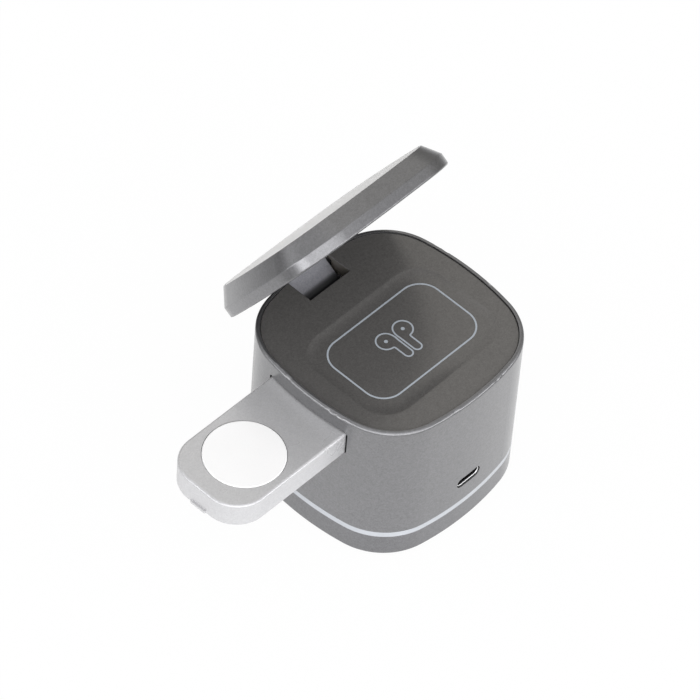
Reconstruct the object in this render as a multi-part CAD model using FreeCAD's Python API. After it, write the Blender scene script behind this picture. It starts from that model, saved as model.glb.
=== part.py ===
import FreeCAD, Part
import os
from math import acos, atan2, cos, degrees, pi, sin, sqrt, tan

# Folding cube charger: a soft-square body with a tilting phone lid and a pull-out watch drawer.
# Millimetres. The origin is the centre of the foot on the table, +X is the way the drawer slides out,
# +Y points to the power socket and +Z is up. The lid is drawn closed, then turned to its open stop.

# Body outline: eight tangent arcs make a square with bowed sides
body_half = 33.0
corner_radius = 19.4
side_radius = 86.5

# Heights of the stacked shells
foot_stand = 0.6
base_height = 7.9
ring_height = 1.85
housing_height = 43.05

# Sections of the shells
wall = 1.3
rim_round = 1.0
base_wall = 1.6
base_floor = 2.4
base_round = 1.0
fit_gap = 0.12
weld = 0.4
tiny = 0.001

# Light ring and its lamps
ring_lip_width = 1.2
ring_lip_height = 1.5
lamp_board_thick = 1.0
lamp_board_width = 2.1
lamp_length = 1.6
lamp_width = 0.7
lamp_height = 0.6
lamp_count = 16

# Foot and ballast
pad_inset = 4.0
foot_pad_thick = 1.2
foot_pad_round = 0.3
ballast_margin = 0.6
ballast_thick = 2.0

# Posts that tie base, board and chassis together
post_setback = 5.5
post_radius = 3.0
post_neck_radius = 2.2
post_rib = 1.4
tube_radius = 2.6

# Screws: shank, head and clearance sizes
screw_radius = 1.0
screw_head_radius = 1.9
screw_head_height = 1.2
screw_clear = 0.15
thread_clear = 0.03
base_screw_bite = 4.0
chassis_screw_length = 6.0
small_screw_radius = 0.7
small_head_radius = 1.3
small_head_height = 0.8
small_screw_bite = 2.4
hole_spare = 0.6

# Main board and the parts on it
board_rise = 4.85
board_thick = 1.6
board_edge_gap = 0.8
chip_side = 7.0
chip_height = 1.0
chip_offset = 9.0
inductor_side = 6.0
inductor_height = 3.0
inductor_round = 1.2
inductor_offset = 17.0
capacitor_radius = 2.5
capacitor_height = 6.0
capacitor_spread = 12.0
capacitor_row = 11.0

# Power socket
socket_half_width = 4.47
socket_half_height = 1.63
socket_sheet = 0.3
socket_length = 7.9
socket_recess = 0.6
socket_opening_gap = 0.15
tongue_half_width = 3.35
tongue_thick = 0.7
tongue_setback = 0.8
tongue_root = 1.6

# Deck with its dished earbud rest
deck_drop = 0.4
deck_thick = 1.6
deck_ledge = 1.5
deck_ledge_thick = 1.2
deck_edge_round = 0.25
dish_half_x = 25.15
dish_half_y = 17.5
dish_corner = 9.5
dish_slope = 4.4
dish_depth = 0.35
dish_centre_y = 4.8
earbud_coil_radius = 12.5
earbud_coil_hole = 4.5
earbud_coil_thick = 1.2
earbud_ferrite_thick = 0.5

# Hinge
open_angle = 58.0
hinge_setback = 4.95
hinge_drop = 8.35
barrel_radius = 3.7
arm_half = 7.1
arm_side_gap = 0.7
slot_rear = 10.3
slot_wall_thick = 1.0
slot_wall_drop = 3.1
notch_clear = 0.7
arm_lid_gap = 0.3
arm_flange_half = 10.8
arm_flange_rear = 8.6
arm_flange_thick = 1.6
arm_screw_rear = 6.3
arm_screw_bite = 0.8
screw_tip_gap = 0.1
pin_radius = 1.25
pin_head = 0.4
bore_gap = 0.04
seat_gap = 0.02
washer_thick = 0.3
washer_width = 1.0
washer_gap = 0.05
ear_thick = 1.8
ear_wall_gap = 0.7
ear_round = 1.7
bracket_thick = 1.5
bracket_toe = 3.2
bracket_rear = 8.0

# Lid
lid_gap = 0.35
lid_wall = 3.35
lid_bevel_height = 5.05
lid_bevel_inset = 3.3
lid_edge_round = 0.4
lid_foot_round = 0.6
lid_lip = 1.1
lid_recess = 0.8
underside_thick = 1.2
underside_ledge = 1.3
phone_pad_thick = 1.2
phone_pad_border = 0.6
phone_pad_ledge = 1.2
phone_pad_round = 0.2
phone_coil_hole = 9.0
phone_coil_thick = 1.6
phone_ferrite_thick = 0.8
magnet_rim_gap = 1.7
magnet_gap = 1.5
magnet_width = 5.0
magnet_count = 12
magnet_fill = 0.9

# Drawer
drawer_drop = 5.6
drawer_thick = 7.85
drawer_half = 14.2
drawer_out = 41.0
drawer_tail = 12.8
drawer_corner = 10.0
drawer_tail_corner = 1.5
drawer_edge_round = 0.8
drawer_wall = 1.3
drawer_bottom_thick = 1.6
drawer_side_gap = 0.45
drawer_lift_gap = 0.35
opening_round = 0.8
lip_half = 2.75
lip_reach = 0.55
lip_height = 0.9
lip_round = 0.35

# Watch puck and what lies under it
puck_setback = 17.25
puck_radius = 11.6
puck_gap = 0.15
puck_proud = 0.15
puck_flange = 0.6
puck_flange_thick = 0.6
puck_round = 0.3
watch_coil_hole = 4.5
watch_coil_thick = 1.2
watch_magnet_radius = 3.6
watch_ferrite_thick = 0.6
drawer_board_length = 15.0
drawer_board_half = 7.0
drawer_board_thick = 0.8
drawer_board_rise = 1.0
drawer_boss_radius = 1.6
drawer_boss_tail = 4.0
drawer_boss_half = 10.2
drawer_boss_front = 5.5
drawer_boss_front_half = 8.0

# Chassis: the channel that the drawer runs in, and its stop peg
chassis_thick = 1.5
chassis_gap = 0.25
guide_gap = 0.3
guide_wall = 1.4
guide_back_gap = 0.6
guide_lip_over = 1.2
guide_lip_thick = 0.6
guide_lip_length = 14.0
peg_radius = 1.2
peg_setback = 3.4
peg_gap = 0.2
groove_depth = 1.1
peg_top_gap = 0.2

# Levels and places worked out from the sizes above
V = FreeCAD.Vector
X_AXIS = V(1, 0, 0)
Z_AXIS = V(0, 0, 1)
through = 4 * body_half
base_bottom = foot_stand
base_top = base_bottom + base_height
ring_top = base_top + ring_height
rim_top = ring_top + housing_height
deck_top = rim_top - deck_drop
deck_bottom = deck_top - deck_thick
dish_floor = deck_top - dish_depth
dish_under = dish_floor - deck_thick
drawer_top = rim_top - drawer_drop
drawer_bottom = drawer_top - drawer_thick
drawer_front = body_half + drawer_out
drawer_back = body_half - drawer_tail
chassis_top = drawer_bottom - guide_gap
chassis_bottom = chassis_top - chassis_thick
board_bottom = ring_top + board_rise
board_top = board_bottom + board_thick
socket_axis_z = board_top + socket_half_height
hinge_y = hinge_setback - body_half
hinge_z = rim_top - hinge_drop
lid_bottom = rim_top + lid_gap
plate_bottom = lid_bottom + lid_recess
plate_top = plate_bottom + underside_thick
lid_waist = lid_bottom + lid_wall
lid_top = lid_waist + lid_bevel_height
pad_bottom = lid_top - phone_pad_thick
pad_seat = lid_bevel_inset + phone_pad_border
magnet_outer = body_half - pad_seat - phone_pad_ledge - magnet_rim_gap
magnet_inner = magnet_outer - magnet_width
phone_coil_radius = magnet_inner - magnet_gap
slot_half = arm_half + arm_side_gap
lid_cavity = lid_lip + underside_ledge
front_bow = side_radius - sqrt(side_radius ** 2 - arm_flange_half ** 2)
neck_front_y = lid_cavity + front_bow + arm_lid_gap - body_half
ring_lip_outer = max(wall, base_wall) + fit_gap
ring_lip_inner = ring_lip_outer + ring_lip_width

# The two arc centres of the outline, and the angle where side arc and corner arc meet
side_shift = side_radius - body_half
corner_centre = (sqrt(2 * (side_radius - corner_radius) ** 2 - side_shift ** 2) - side_shift) / 2
meet_angle = atan2(corner_centre, corner_centre + side_shift)
post_offset = corner_centre + (corner_radius - wall - post_setback) / sqrt(2)
post_places = [(sx * post_offset, sy * post_offset) for sx in (-1, 1) for sy in (-1, 1)]


def outline(points, radii):
    """Closed wire through 3-D corner points, each corner rounded by its own radius."""
    edges = []
    starts = []
    ends = []
    for i, corner in enumerate(points):
        to_last = (points[i - 1] - corner).normalize()
        to_next = (points[(i + 1) % len(points)] - corner).normalize()
        if radii[i] <= 0:
            starts.append(corner)
            ends.append(corner)
            continue
        half = acos(to_last.dot(to_next)) / 2
        inward = (to_last + to_next).normalize()
        first = corner + to_last * (radii[i] / tan(half))
        second = corner + to_next * (radii[i] / tan(half))
        middle = corner + inward * (radii[i] / sin(half) - radii[i])
        edges.append(Part.Arc(first, middle, second).toShape())
        starts.append(first)
        ends.append(second)
    for i, corner in enumerate(points):
        target = starts[(i + 1) % len(points)]
        if ends[i].distanceToPoint(target) > tiny:
            edges.append(Part.makeLine(ends[i], target))
    return Part.Wire(Part.__sortEdges__(edges))


def body_arcs():
    """The eight arcs of the body outline: centre, start angle, sweep and radius."""
    for quarter in range(4):
        turn = quarter * pi / 2
        c, s = cos(turn), sin(turn)
        yield V(-side_shift * c, -side_shift * s, 0), turn - meet_angle, 2 * meet_angle, side_radius
        centre = V(corner_centre * (c - s), corner_centre * (c + s), 0)
        yield centre, turn + meet_angle, pi / 2 - 2 * meet_angle, corner_radius


def soft_wire(inset, z):
    """The body outline at height z, moved inwards by inset."""
    edges = []
    for centre, start, sweep, radius in body_arcs():
        r = radius - inset
        spots = []
        for angle in (start, start + sweep / 2, start + sweep):
            spots.append(centre + V(r * cos(angle), r * sin(angle), z))
        edges.append(Part.Arc(*spots).toShape())
    return Part.Wire(edges)


def soft_plate(inset, low, high):
    """A soft-square plate between two heights."""
    return Part.Face(soft_wire(inset, low)).extrude(V(0, 0, high - low))


def soft_ring(profile):
    """Carry a closed section of (inset, height, rounding) corners round the body outline."""
    sectors = []
    for centre, start, sweep, radius in body_arcs():
        out = V(cos(start), sin(start), 0)
        points = [centre + out * (radius - inset) + V(0, 0, z) for inset, z, _ in profile]
        face = Part.Face(outline(points, [rounding for _, _, rounding in profile]))
        sectors.append(face.revolve(centre, Z_AXIS, degrees(sweep)))
    return sectors[0].fuse(sectors[1:]).removeSplitter()


def box(x_span, y_span, z_span):
    """A block given by its low and high limits along each axis."""
    size = [high - low for low, high in (x_span, y_span, z_span)]
    return Part.makeBox(*size, V(x_span[0], y_span[0], z_span[0]))


def rounded_slab(x_span, y_span, z_span, radius):
    """A block whose four upright edges are rounded."""
    x0, x1 = x_span
    y0, y1 = y_span
    corners = [V(x0, y0, z_span[0]), V(x1, y0, z_span[0]), V(x1, y1, z_span[0]), V(x0, y1, z_span[0])]
    radii = radius if isinstance(radius, (list, tuple)) else [radius] * 4
    return Part.Face(outline(corners, radii)).extrude(V(0, 0, z_span[1] - z_span[0]))


def upright(x, y, low, high, radius):
    """A round bar along Z."""
    return Part.makeCylinder(radius, high - low, V(x, y, low))


def along_x(low, high, radius):
    """A round bar along the hinge line."""
    return Part.makeCylinder(radius, high - low, V(low, hinge_y, hinge_z), X_AXIS)


def screw(x, y, seat, way, shank_radius, head_radius, head_height, length):
    """A screw with its head's bearing face at seat; way is +1 where the shank points up."""
    axis = V(0, 0, way)
    shank = Part.makeCylinder(shank_radius, length, V(x, y, seat), axis)
    return shank.fuse(Part.makeCylinder(head_radius, head_height, V(x, y, seat), axis * -1)).removeSplitter()


def edges_at(shape, z):
    """The edges of a shape that lie wholly at one height."""
    return [e for e in shape.Edges if abs(e.BoundBox.ZMin - z) < tiny and abs(e.BoundBox.ZMax - z) < tiny]


def stadium(half_width, half_height, y_low, y_high):
    """A round-ended bar along Y at the socket's height."""
    z = socket_axis_z
    corners = [V(-half_width, y_low, z - half_height), V(half_width, y_low, z - half_height),
               V(half_width, y_low, z + half_height), V(-half_width, y_low, z + half_height)]
    return Part.Face(outline(corners, [half_height] * 4)).extrude(V(0, y_high - y_low, 0))


def main_housing():
    """Upper shell: wall, rounded rim, deck ledge, posts, and openings for drawer, socket and arm."""
    rim = min(rim_round, wall - fit_gap)
    ledge_in = wall + deck_ledge
    ledge_low = deck_bottom - deck_ledge_thick
    shell = soft_ring([
        (0, ring_top, 0), (0, rim_top, rim), (wall, rim_top, 0), (wall, deck_bottom, 0),
        (ledge_in, deck_bottom, 0), (ledge_in, ledge_low, 0), (wall, ledge_low - deck_ledge, 0),
        (wall, ring_top, 0)])
    rib_low = ring_top + ring_lip_height + guide_gap
    for x, y in post_places:
        post = upright(x, y, base_top, board_bottom, post_radius)
        post = post.fuse(upright(x, y, board_bottom, chassis_bottom, post_neck_radius))
        rib = box((0, post_setback + weld), (-post_rib / 2, post_rib / 2), (rib_low, board_bottom))
        rib.rotate(V(0, 0, 0), Z_AXIS, degrees(atan2(y, x)))
        rib.translate(V(x, y, 0))
        shell = shell.fuse([post, rib])
    cuts = []
    for x, y in post_places:
        pilot = screw_radius + thread_clear
        cuts.append(upright(x, y, base_top, base_top + base_screw_bite + hole_spare, pilot))
        depth = chassis_screw_length - chassis_thick + hole_spare
        cuts.append(upright(x, y, chassis_bottom - depth, chassis_bottom, pilot))
    mouth = drawer_half + drawer_side_gap
    low = drawer_bottom - drawer_lift_gap
    high = drawer_top + drawer_side_gap
    corners = [V(0, -mouth, low), V(0, mouth, low), V(0, mouth, high), V(0, -mouth, high)]
    cuts.append(Part.Face(outline(corners, [opening_round] * 4)).extrude(V(through, 0, 0)))
    gap = socket_opening_gap
    cuts.append(stadium(socket_half_width + gap, socket_half_height + gap, 0, through))
    notch_low = hinge_z - barrel_radius + notch_clear
    cuts.append(box((-slot_half, slot_half), (-through, slot_rear - body_half), (notch_low, through)))
    return shell.cut(cuts).removeSplitter()


def dish_loft(low, high):
    """The dish's sloping pocket as a loft between two rounded oblongs."""
    wires = []
    for inset, z in ((dish_slope, low), (0, high)):
        half_x = dish_half_x - inset
        half_y = dish_half_y - inset
        corners = [V(-half_x, dish_centre_y - half_y, z), V(half_x, dish_centre_y - half_y, z),
                   V(half_x, dish_centre_y + half_y, z), V(-half_x, dish_centre_y + half_y, z)]
        wires.append(outline(corners, [dish_corner - inset] * 4))
    return Part.makeLoft(wires, True, True)


def top_deck():
    """Plate inside the rim: dished in the middle, its underside following the dish, a walled slot in front."""
    plate = soft_plate(wall + fit_gap, deck_bottom, deck_top)
    plate = plate.makeFillet(deck_edge_round, edges_at(plate, deck_top))
    slot_end = slot_rear - body_half
    outer = slot_half + slot_wall_thick
    walls = soft_plate(wall + deck_ledge + guide_gap, deck_bottom - slot_wall_drop, deck_bottom)
    walls = walls.common(box((-outer, outer), (-through, slot_end + slot_wall_thick), (0, through)))
    plate = plate.fuse([dish_loft(dish_under, deck_bottom + dish_depth / 2), walls])
    slot = box((-slot_half, slot_half), (-through, slot_end), (0, through))
    return plate.cut([dish_loft(dish_floor, deck_top), slot]).removeSplitter()


def light_ring():
    """Clear band between the shells, with a locating lip up into one and down into the other."""
    low = base_top - ring_lip_height
    high = ring_top + ring_lip_height
    return soft_ring([
        (0, base_top, 0), (0, ring_top, 0), (ring_lip_outer, ring_top, 0), (ring_lip_outer, high, 0),
        (ring_lip_inner, high, 0), (ring_lip_inner, low, 0), (ring_lip_outer, low, 0),
        (ring_lip_outer, base_top, 0)])


def lamp_board():
    """Narrow board under the ring's lower lip."""
    top = base_top - ring_lip_height
    outer = soft_plate(base_wall + fit_gap, top - lamp_board_thick, top)
    return outer.cut(soft_plate(base_wall + fit_gap + lamp_board_width, 0, through))


def ring_lamps():
    """Lamps spread along the board's inner edge, each turned to face the ring."""
    low = base_top - ring_lip_height
    lamps = []
    arcs = list(body_arcs())
    per_arc = lamp_count // len(arcs)
    for centre, start, sweep, radius in arcs:
        for step in range(per_arc):
            angle = start + sweep * (step + 0.5) / per_arc
            r = radius - ring_lip_inner
            lamp = box((-lamp_width - fit_gap / 2, -fit_gap / 2), (-lamp_length / 2, lamp_length / 2),
                       (low, low + lamp_height))
            lamp.rotate(V(0, 0, 0), Z_AXIS, degrees(angle))
            lamp.translate(centre + V(r * cos(angle), r * sin(angle), 0))
            lamps.append(lamp)
    return Part.makeCompound(lamps)


def base_cover():
    """Lower tray: rounded foot edge, ledge for the lamp board, screw tubes and a recess for the pad."""
    lamp_low = base_top - ring_lip_height - lamp_board_thick
    ledge = base_wall + fit_gap + ring_lip_width
    tray = soft_ring([
        (ledge, base_bottom, 0), (0, base_bottom, base_round), (0, base_top, 0), (base_wall, base_top, 0),
        (base_wall, lamp_low, 0), (ledge, lamp_low, 0)])
    tray = tray.fuse(soft_plate(ledge - weld, base_bottom, base_bottom + base_floor))
    tray = tray.fuse([upright(x, y, base_bottom, base_top, tube_radius) for x, y in post_places])
    cuts = [soft_plate(pad_inset - fit_gap, 0, foot_pad_thick)]
    for x, y in post_places:
        seat = foot_pad_thick + screw_head_height
        cuts.append(upright(x, y, 0, base_top, screw_radius + screw_clear))
        cuts.append(upright(x, y, 0, seat, screw_head_radius + screw_clear))
    return tray.cut(cuts).removeSplitter()


def foot_pad():
    """Rubber sheet that covers the screws and stands the body off the table."""
    pad = soft_plate(pad_inset, 0, foot_pad_thick)
    return pad.makeFillet(foot_pad_round, edges_at(pad, 0))


def ballast_plate():
    """Steel plate on the tray's floor, between the screw tubes."""
    tube_reach = wall + post_setback + tube_radius
    floor = base_bottom + base_floor
    return soft_plate(tube_reach + ballast_margin, floor, floor + ballast_thick)


def main_board():
    """Board that drops over the post necks and rests on their shoulders."""
    board = soft_plate(wall + board_edge_gap, board_bottom, board_top)
    return board.cut([upright(x, y, 0, through, post_neck_radius + fit_gap) for x, y in post_places])


def board_chips():
    """Flat packages on the board."""
    half = chip_side / 2
    chips = []
    for x in (-chip_offset, 0, chip_offset):
        chips.append(box((x - half, x + half), (-half, half), (board_top, board_top + chip_height)))
    return Part.makeCompound(chips)


def board_inductors():
    """Rounded power inductors in a row behind the socket."""
    half = inductor_side / 2
    blocks = []
    for side in (-1, 1):
        x = side * inductor_offset
        blocks.append(rounded_slab((x - half, x + half), (-half, half),
                                   (board_top, board_top + inductor_height), inductor_round))
    return Part.makeCompound(blocks)


def board_capacitors():
    """Can capacitors standing on the board's front half."""
    cans = []
    for step in (-1, 0, 1):
        cans.append(upright(step * capacitor_spread, -capacitor_row, board_top,
                            board_top + capacitor_height, capacitor_radius))
    return Part.makeCompound(cans)


def socket_shell():
    """Round-ended metal tube of the power socket."""
    front = body_half - socket_recess
    tube = stadium(socket_half_width, socket_half_height, front - socket_length, front)
    inner_width = socket_half_width - socket_sheet
    return tube.cut(stadium(inner_width, socket_half_height - socket_sheet, 0, through))


def socket_tongue():
    """Contact tongue on the plug of insulator that closes the tube's rear."""
    back = body_half - socket_recess - socket_length
    inner_width = socket_half_width - socket_sheet - seat_gap
    inner_height = socket_half_height - socket_sheet - seat_gap
    root = stadium(inner_width, inner_height, back, back + tongue_root)
    tip = body_half - socket_recess - tongue_setback
    half = tongue_thick / 2
    blade = box((-tongue_half_width, tongue_half_width), (back, tip),
                (socket_axis_z - half, socket_axis_z + half))
    return root.fuse(blade).removeSplitter()


def inner_chassis():
    """Floor across the body with the drawer's channel on it, holding lips and the stop peg."""
    room = soft_plate(wall + chassis_gap, 0, through)
    floor = soft_plate(wall + chassis_gap, chassis_bottom, chassis_top)
    inner = drawer_half + guide_gap
    outer = inner + guide_wall
    back = drawer_back - drawer_out - guide_back_gap
    lip_low = drawer_top + guide_gap
    lip_high = lip_low + guide_lip_thick
    lip_back = body_half - wall - guide_lip_length
    walls = [box((back - guide_wall, back), (-outer, outer), (chassis_top, drawer_top))]
    for side in (-1, 1):
        limits = sorted((side * inner, side * outer))
        walls.append(box((back, body_half), limits, (chassis_top, lip_high)))
        limits = sorted((side * (drawer_half - guide_lip_over), side * outer))
        walls.append(box((lip_back, body_half), limits, (lip_low, lip_high)))
    peg_top = drawer_bottom + groove_depth - peg_top_gap
    walls.append(upright(body_half - wall - peg_setback, 0, chassis_top, peg_top, peg_radius))
    chassis = floor.fuse(walls).common(room)
    holes = [upright(x, y, 0, chassis_top, screw_radius + screw_clear) for x, y in post_places]
    for x, y in bracket_screw_places():
        holes.append(upright(x, y, 0, chassis_top, small_screw_radius + thread_clear))
    return chassis.cut(holes).removeSplitter()


def ear_inner():
    """Distance from the middle to the inner face of a bracket ear."""
    return arm_half + washer_thick + 2 * washer_gap


def bracket_screw_places():
    """Two screws through the bracket's foot, behind the barrel."""
    y = hinge_y + bracket_rear - 2 * small_head_radius
    x = ear_inner() - small_head_radius - screw_clear
    return [(side * x, y) for side in (-1, 1)]


def hinge_bracket():
    """Folded steel bracket: a foot on the chassis and two round-topped ears that hold the pin."""
    radius = hinge_setback - wall - ear_wall_gap
    half = ear_inner() + ear_thick
    foot_top = chassis_top + bracket_thick
    foot = box((-half, half), (hinge_y - radius, hinge_y + bracket_rear), (chassis_top, foot_top))
    ears = []
    for side in (-1, 1):
        x = min(side * ear_inner(), side * half)
        corners = [V(x, hinge_y - radius, chassis_top), V(x, hinge_y + radius + bracket_toe, chassis_top),
                   V(x, hinge_y + radius, hinge_z + radius), V(x, hinge_y - radius, hinge_z + radius)]
        rounds = [0, 0, ear_round, ear_round]
        ears.append(Part.Face(outline(corners, rounds)).extrude(V(ear_thick, 0, 0)))
    barrel_half = arm_half + washer_gap
    cuts = [along_x(-through, through, pin_radius + seat_gap),
            along_x(-barrel_half, barrel_half, barrel_radius + guide_gap)]
    for x, y in bracket_screw_places():
        cuts.append(upright(x, y, 0, foot_top, small_screw_radius + screw_clear))
    return foot.fuse(ears).cut(cuts).removeSplitter()


def bracket_screws():
    """Small screws from the bracket's foot into the chassis."""
    length = bracket_thick + chassis_thick
    seat = chassis_top + bracket_thick
    return Part.makeCompound([
        screw(x, y, seat, -1, small_screw_radius, small_head_radius, small_head_height, length)
        for x, y in bracket_screw_places()])


def hinge_pin():
    """Steel pin through ears, washers and barrel."""
    half = ear_inner() + ear_thick + pin_head
    return along_x(-half, half, pin_radius)


def friction_washers():
    """Washers between the barrel's ends and the ears; they hold the lid where it is put."""
    rings = []
    for side in (-1, 1):
        low = min(side * (arm_half + washer_gap), side * (arm_half + washer_gap + washer_thick))
        ring = along_x(low, low + washer_thick, pin_radius + bore_gap + washer_width)
        rings.append(ring.cut(along_x(-through, through, pin_radius + bore_gap)))
    return Part.makeCompound(rings)


def flat_coil(x, y, low, high, radius, hole):
    """A flat wound coil as a ring."""
    return upright(x, y, low, high, radius).cut(upright(x, y, low, high, hole))


def earbud_coil():
    """Coil glued under the dish."""
    low = dish_under - earbud_coil_thick
    return flat_coil(0, dish_centre_y, low, dish_under, earbud_coil_radius, earbud_coil_hole)


def earbud_ferrite():
    """Ferrite sheet under the earbud coil."""
    high = dish_under - earbud_coil_thick
    return upright(0, dish_centre_y, high - earbud_ferrite_thick, high, earbud_coil_radius)


def base_screws():
    """Screws from under the foot pad, up the tubes, into the housing's posts."""
    seat = foot_pad_thick + screw_head_height
    length = base_top + base_screw_bite - seat
    return Part.makeCompound([
        screw(x, y, seat, 1, screw_radius, screw_head_radius, screw_head_height, length)
        for x, y in post_places])


def chassis_screws():
    """Screws from the chassis down into the post tops."""
    length = chassis_screw_length
    return Part.makeCompound([
        screw(x, y, chassis_top, -1, screw_radius, screw_head_radius, screw_head_height, length)
        for x, y in post_places])


def lid_frame():
    """Lid rim: upright wall, bevel up to the pad's border, ledges for the pad and underside plate."""
    ledge = pad_seat + phone_pad_ledge
    ledge_low = pad_bottom - phone_pad_ledge
    return soft_ring([
        (0, lid_bottom, lid_foot_round), (0, lid_waist, lid_edge_round),
        (lid_bevel_inset, lid_top, phone_pad_border / 2), (pad_seat, lid_top, 0), (pad_seat, pad_bottom, 0),
        (ledge, pad_bottom, 0), (ledge, ledge_low, 0), (lid_cavity, ledge_low, 0),
        (lid_cavity, plate_top, 0), (lid_lip, plate_top, 0), (lid_lip, lid_bottom, 0)])


def lid_pad():
    """Pale plate that the phone lies on."""
    pad = soft_plate(pad_seat + fit_gap, pad_bottom, lid_top)
    return pad.makeFillet(phone_pad_round, edges_at(pad, lid_top))


def arm_screw_places():
    """Two screws through the arm's flange, one on each side."""
    x = arm_half + (arm_flange_half - arm_half) / 2
    return [(-x, hinge_y + arm_screw_rear), (x, hinge_y + arm_screw_rear)]


def lid_underside():
    """Plate let into the lid from below, holed for the arm's neck."""
    plate = soft_plate(lid_lip + fit_gap, plate_bottom, plate_top)
    cuts = [box((-arm_half - fit_gap, arm_half + fit_gap),
                (neck_front_y - fit_gap, hinge_y + barrel_radius + fit_gap), (0, through))]
    for x, y in arm_screw_places():
        pilot_low = plate_top - arm_screw_bite - screw_tip_gap
        cuts.append(upright(x, y, pilot_low, plate_top, small_screw_radius + thread_clear))
    return plate.cut(cuts)


def hinge_arm():
    """Barrel on the pin, a neck tangent to it, and a flange inside the lid."""
    barrel = along_x(-arm_half, arm_half, barrel_radius)
    flange_top = plate_top + arm_flange_thick
    neck = box((-arm_half, arm_half), (neck_front_y, hinge_y + barrel_radius), (hinge_z, flange_top))
    flange = box((-arm_flange_half, arm_flange_half), (neck_front_y, hinge_y + arm_flange_rear),
                 (plate_top, flange_top))
    cuts = [along_x(-through, through, pin_radius + bore_gap)]
    for x, y in arm_screw_places():
        cuts.append(upright(x, y, plate_top, flange_top, small_screw_radius + screw_clear))
        seat = flange_top - small_head_height
        cuts.append(upright(x, y, seat, flange_top, small_head_radius + screw_clear))
    return barrel.fuse([neck, flange]).cut(cuts).removeSplitter()


def arm_screws():
    """Screws that clamp the flange to the underside plate."""
    seat = plate_top + arm_flange_thick - small_head_height
    length = arm_flange_thick - small_head_height + arm_screw_bite
    return Part.makeCompound([
        screw(x, y, seat, -1, small_screw_radius, small_head_radius, small_head_height, length)
        for x, y in arm_screw_places()])


def phone_coil():
    """Coil glued under the phone pad."""
    return flat_coil(0, 0, pad_bottom - phone_coil_thick, pad_bottom, phone_coil_radius, phone_coil_hole)


def phone_ferrite():
    """Ferrite sheet under the phone coil."""
    high = pad_bottom - phone_coil_thick
    return upright(0, 0, high - phone_ferrite_thick, high, phone_coil_radius)


def magnet_ring():
    """Arc magnets round the phone coil, under the pad."""
    pitch = 360 / magnet_count
    low = pad_bottom - phone_coil_thick
    magnets = []
    for step in range(magnet_count):
        corners = [V(magnet_inner, 0, low), V(magnet_outer, 0, low),
                   V(magnet_outer, 0, pad_bottom), V(magnet_inner, 0, pad_bottom)]
        face = Part.Face(outline(corners, [0] * 4))
        magnet = face.revolve(V(0, 0, 0), Z_AXIS, pitch * magnet_fill)
        magnet.rotate(V(0, 0, 0), Z_AXIS, step * pitch)
        magnets.append(magnet)
    return Part.makeCompound(magnets)


def drawer_slab(inset, low, high):
    """The drawer's plan shape between two heights, moved inwards by inset."""
    tail = drawer_tail_corner - min(inset, drawer_tail_corner / 2)
    front = drawer_corner - inset
    half = drawer_half - inset
    return rounded_slab((drawer_back + inset, drawer_front - inset), (-half, half), (low, high),
                        [tail, front, front, tail])


def puck_x():
    """Where the puck's axis stands along the drawer."""
    return drawer_front - puck_setback


def drawer_boss_places():
    """Screw bosses at the drawer's tail and beside its front corners."""
    tail = drawer_back + drawer_boss_tail
    front = drawer_front - drawer_boss_front
    places = []
    for side in (-1, 1):
        places.append((tail, side * drawer_boss_half))
        places.append((front, side * drawer_boss_front_half))
    return places


def drawer_shell():
    """Silver cover of the drawer: hollow from below, a round window for the puck, a finger lip in front."""
    ceiling = drawer_top - drawer_wall
    shell = drawer_slab(0, drawer_bottom, drawer_top)
    shell = shell.makeFillet(drawer_edge_round, edges_at(shell, drawer_top))
    shell = shell.cut(drawer_slab(drawer_wall, 0, ceiling))
    lip = rounded_slab((drawer_front - drawer_wall / 2, drawer_front + lip_reach), (-lip_half, lip_half),
                       (drawer_bottom, drawer_bottom + lip_height), [0, lip_round, lip_round, 0])
    floor = drawer_bottom + drawer_bottom_thick
    bosses = [upright(x, y, floor, ceiling + weld, drawer_boss_radius) for x, y in drawer_boss_places()]
    shell = shell.fuse(bosses + [lip])
    cuts = [upright(puck_x(), 0, 0, through, puck_radius + puck_gap)]
    for x, y in drawer_boss_places():
        pilot_top = floor + small_screw_bite + hole_spare
        cuts.append(upright(x, y, floor, pilot_top, small_screw_radius + thread_clear))
    return shell.cut(cuts).removeSplitter()


def drawer_floor():
    """Plate that closes the drawer, with a groove for the stop peg and bosses for the board."""
    top = drawer_bottom + drawer_bottom_thick
    plate = drawer_slab(drawer_wall + fit_gap, drawer_bottom, top)
    board_top_z = top + drawer_board_rise
    for x, y in drawer_board_corners():
        plate = plate.fuse(upright(x, y, top, board_top_z, drawer_boss_radius))
    cuts = []
    peg_x = body_half - wall - peg_setback
    half = peg_radius + peg_gap
    cuts.append(rounded_slab((peg_x - half, peg_x + half + drawer_out), (-half, half),
                             (drawer_bottom - weld, drawer_bottom + groove_depth), half - seat_gap))
    for x, y in drawer_boss_places():
        seat = drawer_bottom + small_head_height
        cuts.append(upright(x, y, drawer_bottom, top, small_screw_radius + screw_clear))
        cuts.append(upright(x, y, drawer_bottom, seat, small_head_radius + screw_clear))
    return plate.cut(cuts).removeSplitter()


def drawer_board_corners():
    """Corners of the drawer's small board, moved in to where its bosses stand."""
    start = drawer_back + drawer_wall + drawer_boss_radius
    places = []
    for x in (start + drawer_boss_radius, start + drawer_board_length - drawer_boss_radius):
        for side in (-1, 1):
            places.append((x, side * (drawer_board_half - drawer_boss_radius)))
    return places


def drawer_board():
    """Small driver board in the drawer's tail."""
    start = drawer_back + drawer_wall + drawer_boss_radius
    low = drawer_bottom + drawer_bottom_thick + drawer_board_rise
    return box((start, start + drawer_board_length), (-drawer_board_half, drawer_board_half),
               (low, low + drawer_board_thick))


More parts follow.
